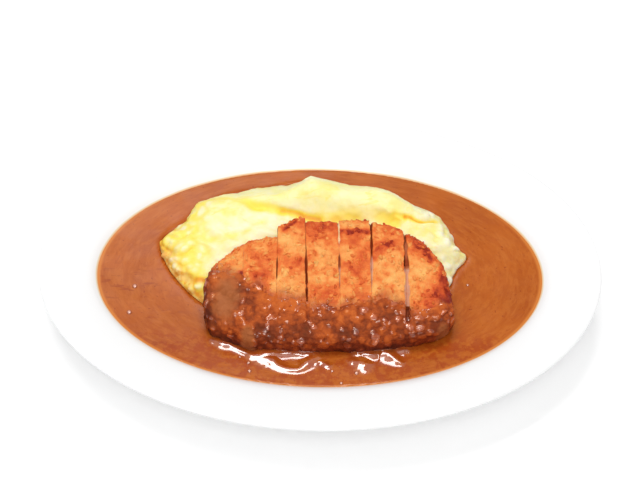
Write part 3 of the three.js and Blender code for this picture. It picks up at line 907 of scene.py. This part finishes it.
def make_slice(node, number, material):
    """One slice, with crumbs on its skin and fibres and depth in its knife cuts."""
    piece = remeshed(node, node + "_crust", SLICE_GRID)
    points = points_of(piece)
    local = to_cutlet(points)
    skin_tree, cut_tree = cad_surface(node, number)
    to_skin = distance_to(skin_tree, points, CUTLET_REACH)
    to_cut = distance_to(cut_tree, points, CUTLET_REACH)
    on_cut = smoothstep(to_skin - to_cut, 0.0, 0.5)
    # Crumbs next to a cut were sliced through, so the relief stops there without overhanging it.
    relief = (1 - on_cut) * smoothstep(to_cut, -0.4, 0.8) * crumb_relief(local)
    fibre = on_cut * 0.2 * smooth_noise(local * (1, 0.5, 1), 1.8, 3)
    closed, tone = cut_looks(number, local, to_skin)
    points = points + normals_of(piece) * (relief + fibre)[:, None]
    points[:, 0] += closed * (1 - smoothstep(to_cut, 0, 3.5))
    move_points(piece, points + stand_out(local))
    set_masks(
        piece,
        wet=wetness(local) * (1 - on_cut),
        runny=runniness(local) * (1 - on_cut),
        meat=smoothstep(to_skin, 0.15, 0.6) * on_cut,
        tone=tone,
        brown=browning(local),
        uncut=(1 - on_cut) * smoothstep(to_cut, 0.3, 1.4),
    )
    finish_piece(piece, "crust", material, node)
    return piece


def unit_ball():
    """Corners and triangles of a ball of radius 1."""
    bm = bmesh.new()
    bmesh.ops.create_icosphere(bm, subdivisions=2, radius=1)
    corners = np.array([v.co for v in bm.verts])
    faces = np.array([[v.index for v in f.verts] for f in bm.faces])
    bm.free()
    return corners, faces


def flake_places(slices, rng):
    """Random places on the crust above the coat and just under its limit, and the way out at each."""
    places, outward = [], []
    for piece in slices:
        points = points_of(piece)
        uncut = np.empty(len(points), np.float32)
        piece.data.attributes["uncut"].data.foreach_get("value", uncut)
        local = to_cutlet(points)
        usable = (uncut > 0.9) & (above_coat(local) > -7) & (local[:, 2] > 4 - CUTLET_THICKNESS)
        index = np.flatnonzero(usable)
        chosen = rng.choice(index, int(len(index) * FLAKES_PER_POINT), replace=False)
        places.append(points[chosen])
        outward.append(normals_of(piece)[chosen])
    return np.concatenate(places), np.concatenate(outward)


def flake_shapes(ball, outward, rng):
    """Corners of each flake round its middle: a squashed, uneven ball, tipped out of the surface."""
    count = len(outward)
    size = np.stack([rng.uniform(low, high, count) for low, high in FLAKE_SIZES], 1)
    uneven = 1 + FLAKE_UNEVEN * rng.uniform(-1, 1, (count, len(ball)))
    flakes = ball[None] * size[:, None] * uneven[..., None]
    up = unit(outward + rng.normal(0, FLAKE_TIPPED, (count, 3)))
    side = unit(np.cross(up, rng.normal(0, 1, (count, 3))))
    axes = np.stack([side, np.cross(up, side), up], 1)
    return np.einsum("nvk,nkj->nvj", flakes, axes)


def make_crumbs(slices):
    """Flat flakes of fried breadcrumb, bedded in the crust at all angles."""
    rng = np.random.default_rng(7)
    ball, faces = unit_ball()
    places, outward = flake_places(slices, rng)
    count = len(places)
    points = flake_shapes(ball, outward, rng) + (places - FLAKE_SUNK * outward)[:, None]
    index = faces[None] + (np.arange(count) * len(ball))[:, None, None]
    mesh = bpy.data.meshes.new("crust_crumbs")
    mesh.from_pydata((points.reshape(-1, 3) * MM).tolist(), [], index.reshape(-1, 3).tolist())
    piece = add_object("crust_crumbs", mesh)
    local = to_cutlet(places)
    wet = wetness(local)
    masks = {
        "brown": browning(local) + rng.normal(0, 0.12, count),
        "wet": wet,
        "runny": runniness(local),
        "gloss": wet * (rng.random(count) < FLAKES_GLOSSY),
    }
    set_masks(piece, **{name: np.repeat(values, len(ball)) for name, values in masks.items()})
    finish_piece(piece, "crust", crust("fried_crumbs", 0.6))


def crumb_domes(local, size, width, seed):
    """Heights of crumbs that show under the glaze as round domes, and their random numbers."""
    near, tag = crumb_cells(local, size, seed)
    return np.sqrt(np.clip(1 - (near / width) ** 2, 0, 1)) * (0.25 + 0.75 * tag), tag


def coat_bulges(points):
    """Height of the coat's bulges and hollows."""
    bulge = np.zeros(len(points))
    for middle, radius, tallest in COAT_LUMPS:
        bulge += tallest * bell(np.linalg.norm(points - middle, axis=1), radius)
    return bulge


def cut_groove(local):
    """How far points of the coat lie in the sixth cut, which still shows through it."""
    half_width, length = OPEN_UNDER_COAT
    from_cut = np.abs(local[:, 0] - cut_line(CUTS[-1], local[:, 1]))
    return bell(from_cut, half_width) * smoothstep(above_coat(local), -length - 4, -length)


def make_coat():
    """Curry poured over the crumbs: a glaze that thins out and sinks between them at its limit."""
    piece = remeshed("curry_coat", "curry_glaze", COAT_GRID)
    points = points_of(piece)
    local = to_cutlet(points)
    bare = [copy_of(node, node + "_bare") for node in SLICES]
    from_skin, inward = way_to(tree_of(*bare), points, CUTLET_REACH)
    for cad in bare:
        bpy.data.objects.remove(cad)
    outer = smoothstep(from_skin, 0.6, 1.4)
    above = above_coat(local)
    cover = 1 - smoothstep(above + 3.0 * smooth_noise(local, 6, 12), -10, 1)
    runny = runniness(local)
    groove = cut_groove(local)
    foot = 1 - smoothstep(points[:, 2], CURRY_LEVEL, CURRY_LEVEL + 8)
    bulge = coat_bulges(points)
    uneven = bent(local, 0.9, 3.2, 61)
    dome, tag = crumb_domes(uneven, COAT_CRUMB_SIZE, 0.68, 60)
    small_dome, small_tag = crumb_domes(uneven, SMALL_COAT_CRUMB_SIZE, 0.65, 90)
    relief = (1.15 * dome + 0.45 * small_dome) * (1 - 0.55 * runny)
    relief += 0.4 * layered_noise(local, 12, 2, 70)
    height = -0.8 + 1.7 * cover + relief * (0.6 + 0.4 * cover)
    height -= groove * np.clip(height + 0.2, 0, 1.2)
    height += 2.0 * foot**2 + bulge + 1.1 * foot * layered_noise(local, 9, 2, 71)
    target = outer * height - (1 - outer) * 0.8
    move_points(piece, points + inward * (from_skin - target)[:, None] + stand_out(local))
    # It is darker where it is thick or in shadow, and paler on the domes.
    depth = 0.38 + 0.2 * smoothstep(-above, 0, 14) - 0.42 * dome - 0.12 * small_dome
    depth += 0.48 * foot + 0.5 * groove + 0.3 * smooth_noise(local, 11, 23)
    depth += 0.35 * (1 - smoothstep(local[:, 0], -64, -58)) + 0.35 * np.clip(-bulge, 0, 1.5)
    # Some of the domes, picked by their random numbers, catch the light.
    glint = smoothstep(tag, 0.58, 0.88) * dome
    glint = np.maximum(glint, smoothstep(small_tag, 0.76, 0.93) * small_dome)
    gloss = smoothstep(glint, 0.25, 0.7) * (1 - runny) * (1 - 0.8 * foot)
    set_masks(piece, depth=depth, gloss=gloss, runny=runny * 0.9)
    finish_piece(piece, "curry_glaze", curry_glaze(), "curry_coat")
    return piece


def among_ripples(middle):
    """Whether a face of the pool lies at the curry's level in the stretch that the ripples cross."""
    left, right, front, back = RIPPLE_AREA
    return middle.z > CURRY_LEVEL - 1 and left < middle.x < right and front < middle.y < back


def ripples_at(points):
    """Height of the ripples at points of the pool, and how glossy they make it there."""
    plan = bent(points, 0.5, 4, 31, axes=2)
    height = np.zeros(len(points))
    gloss = np.zeros(len(points))
    for path in RIPPLES:
        away, width = distance_to_path(plan, path)
        height = np.maximum(height, RIPPLE_SLOPE * width * bell(away, width))
        gloss = np.maximum(gloss, 1 - smoothstep(away, 0.8 * width, 2.2 * width))
    return height, gloss


def food_around(points, surface, egg_piece, cutlet_pieces):
    """Distances from points to the egg and to the cutlet, and the way to the nearer, at the surface."""
    from_egg = np.full(len(points), POOL_REACH)
    from_cutlet = np.full(len(points), POOL_REACH)
    way = np.zeros_like(points)
    from_egg[surface], way[surface] = way_to(tree_of(egg_piece), points[surface], POOL_REACH)
    from_cutlet[surface], other_way = way_to(tree_of(*cutlet_pieces), points[surface], POOL_REACH)
    nearer = from_cutlet[surface] < from_egg[surface]
    way[surface[nearer]] = other_way[nearer]
    return from_egg, from_cutlet, way


def make_pool(egg_piece, cutlet_pieces):
    """The curry in the plate, with its ripples, met by the food without a gap."""
    piece = remeshed("curry_pool", "curry_pool_surface", POOL_GRID)
    refine(piece, among_ripples)
    points = points_of(piece)
    top = smoothstep(points[:, 2], CURRY_LEVEL - 0.9, CURRY_LEVEL - 0.1)
    from_egg, from_cutlet, way = food_around(points, np.flatnonzero(top > 0), egg_piece, cutlet_pieces)
    from_food = np.minimum(from_egg, from_cutlet)
    # The surface dips where it meets the egg and climbs a little on the curry-coated cutlet.
    rise = 0.6 * np.exp(-from_cutlet / 1.8) - 0.3 * bell(from_egg, 2.2)
    out = np.hypot(points[:, 0] / SHORE[0], points[:, 1] / SHORE[1])
    calm = smoothstep(from_food, 0, 5) * smoothstep(1 - out, 0.01, 0.08)
    rise += 0.12 * layered_noise(points, 26, 2, 2) * calm
    ripple, gloss = ripples_at(points)
    # The surface's edges reach just into the glaze and into the food, so that no gap shows.
    edge = smoothstep(out, 0.935, 0.97) * top
    lip = np.maximum(points[:, 2] - CURRY_LEVEL, 0) * edge
    points[:, 2] += (rise + ripple) * top - lip
    points[:, :2] *= 1 + 0.03 * edge[:, None]
    reach = (from_food + 0.4) * (1 - smoothstep(from_food, 0.6, 2.2)) * top
    points[:, :2] += way[:, :2] * reach[:, None]
    move_points(piece, points)
    shade = np.maximum(0.65 * bell(from_cutlet, 2.8), 0.35 * bell(from_egg, 1.6))
    set_masks(piece, gloss=gloss * top, shade=shade)
    finish_piece(piece, "curry", curry(), "curry_pool")
    return piece


def make_bubbles(material):
    """Air bubbles and oil spots on the pool: low domes with a painted highlight on top and painted
    shade at the foot.
    """
    bm = bmesh.new()
    for x, y, radius in BUBBLES:
        shape = Matrix.Diagonal((radius, radius, BUBBLE_SLOPE * radius, 1 / MM)) * MM
        place = Matrix.Translation(Vector((x, y, CURRY_LEVEL)) * MM)
        bmesh.ops.create_uvsphere(bm, u_segments=20, v_segments=12, radius=1, matrix=place @ shape)
    mesh = bpy.data.meshes.new("curry_bubbles")
    bm.to_mesh(mesh)
    bm.free()
    piece = add_object("curry_bubbles", mesh)
    foam = smoothstep(normals_of(piece)[:, 2], 0.94, 0.99)
    set_masks(piece, gloss=np.ones(len(foam)), foam=foam, shade=0.8 * (1 - foam))
    finish_piece(piece, "curry", material)


# ---------- stage


def area_light(name, place, aim, size, watts):
    data = bpy.data.lights.new(name, "AREA")
    data.shape = "RECTANGLE"
    data.size, data.size_y = size
    data.energy = watts
    lamp = add_object(name, data)
    lamp.location = place
    lamp.rotation_euler = (Vector(aim) - Vector(place)).to_track_quat("-Z", "Y").to_euler()
    return lamp


def make_stage():
    half = FLOOR_HALF
    corners = [(-half, -half, 0), (half, -half, 0), (half, half, 0), (-half, half, 0)]
    mesh = bpy.data.meshes.new("floor")
    mesh.from_pydata(corners, [], [(0, 1, 2, 3)])
    floor = add_object("floor", mesh)
    shader = Shader("floor", Base_Color=(0.95, 0.95, 0.95), Roughness=0.9, Emission_Strength=0.1)
    mesh.materials.append(shader.material)

    world = bpy.data.worlds.new("studio")
    world.use_nodes = True
    background = world.node_tree.nodes["Background"]
    background.inputs["Color"].default_value = (1, 1, 1, 1)
    background.inputs["Strength"].default_value = STUDIO_BRIGHTNESS
    bpy.context.scene.world = world

    for light in LIGHTS:
        area_light(*light)
    panel = area_light(*PANEL)
    panel.rotation_euler = (0, 0, PANEL_TURN)
    bpy.context.scene.view_settings.view_transform = "Standard"


def make_camera():
    data = bpy.data.cameras.new("camera")
    data.sensor_width = CAMERA_SENSOR
    data.lens = CAMERA_LENS
    camera = add_object("camera", data)
    aimed = (CAMERA_AIM - CAMERA_PLACE).to_track_quat("-Z", "Y").to_matrix()
    rolled = aimed @ Matrix.Rotation(-CAMERA_ROLL, 3, "Z")
    camera.matrix_world = Matrix.Translation(CAMERA_PLACE) @ rolled.to_4x4()
    bpy.context.scene.camera = camera


# ---------- assembly

make_camera()
make_stage()
make_plate()
omelette = make_omelette()
crust_material = crust("crust", 0.65)
slices = [make_slice(node, number, crust_material) for number, node in enumerate(SLICES)]
make_crumbs(slices)
coat = make_coat()
pool = make_pool(omelette, [coat, *slices])
make_bubbles(pool.data.materials[0])
